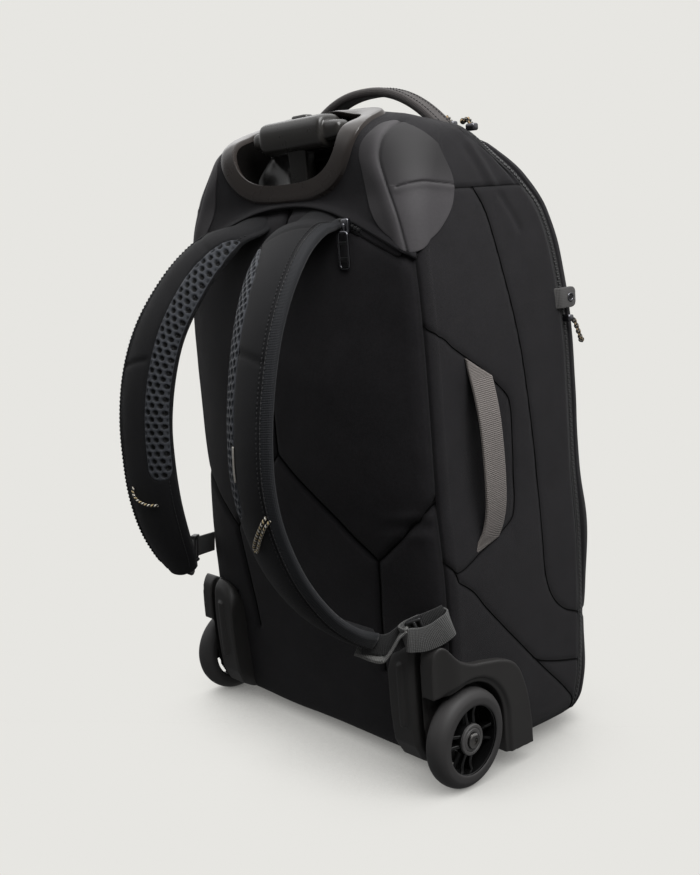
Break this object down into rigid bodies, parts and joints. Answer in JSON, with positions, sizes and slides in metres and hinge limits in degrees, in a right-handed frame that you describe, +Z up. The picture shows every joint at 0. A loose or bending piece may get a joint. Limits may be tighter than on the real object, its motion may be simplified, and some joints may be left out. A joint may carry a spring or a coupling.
{
  "type": "wheeled backpack",
  "caption": "Black cloth travel backpack on wheels, with a single-post pull-out handle, padded shoulder straps, a grey side handle and a zip round the front.",
  "frame": {"origin": "on the floor, in the middle of the bag's footprint box", "axes": "+Z up, -Y to the harness side, +X to the side with the grey side handle"},
  "size_m": [0.3344, 0.389, 0.5863],
  "materials": {
    "cloth": "fine plain weave",
    "patch": "smooth coated cloth",
    "zip": "satin",
    "strap": "padded cloth and spacer mesh",
    "webbing": "ribbed webbing",
    "grey_webbing": "ribbed webbing",
    "cord": "twisted cord",
    "bezel": "satin",
    "gloss_black": "gloss",
    "housing": "fine grain",
    "tyre": "matte",
    "aluminium": "anodised",
    "steel": "dark nickel"
  },
  "bodies": {
    "bag": {"back_panel": "cloth", "top_yoke": "cloth", "side_panel_right": "cloth", "side_panel_left": "cloth", "front_panel": "cloth", "base_panel": "cloth", "corner_patch_right": "patch", "corner_patch_left": "patch", "main_zip": "zip", "harness_zip": "zip", "harness_zip_pull": "steel", "main_zip_pull_1": "zip", "main_zip_pull_2": "zip", "edge_zip_pull": "zip", "lash_tab": "webbing", "shoulder_strap_right": "strap", "shoulder_strap_left": "strap", "strap_webbing_right": "webbing", "strap_webbing_left": "webbing", "ladder_buckle_right": "gloss_black", "ladder_buckle_left": "gloss_black", "strap_cord_right": "cord", "strap_cord_left": "cord", "top_handle": "webbing", "side_handle": "grey_webbing", "handle_cup": "bezel", "guide_tube": "aluminium", "wheel_housing_right": "housing", "wheel_housing_left": "housing", "axle_right": "steel", "axle_left": "steel", "front_foot_right": "housing", "front_foot_left": "housing"},
    "trolley_tube": {"middle_tube": "aluminium"},
    "trolley_handle": {"trolley_grip": "gloss_black"},
    "release_button": {"grip_button": "gloss_black"},
    "wheel_right": {"tyre_right": "tyre", "hub_right": "gloss_black"},
    "wheel_left": {"tyre_left": "tyre", "hub_left": "gloss_black"}
  },
  "joints": [
    {"name": "wheel_right_spin", "type": "hinge", "parent": "bag", "child": "wheel_right", "pos_m": [0.1556, -0.01711, 0.042], "axis": [1, 0, 0], "continuous": true},
    {"name": "wheel_left_spin", "type": "hinge", "parent": "bag", "child": "wheel_left", "pos_m": [-0.1556, -0.01711, 0.042], "axis": [1, 0, 0], "continuous": true},
    {"name": "trolley_tube_slide", "type": "slide", "parent": "bag", "child": "trolley_tube", "axis": [0, -0.1097, 0.994], "range_m": [0, 0.22]},
    {"name": "trolley_handle_slide", "type": "slide", "parent": "trolley_tube", "child": "trolley_handle", "axis": [0, -0.1097, 0.994], "range_m": [0, 0.22]},
    {"name": "release_button_press", "type": "slide", "parent": "trolley_handle", "child": "release_button", "axis": [0, 0.1097, -0.994], "range_m": [0, 0.0025], "stiffness_N_per_m": 400}
  ]
}
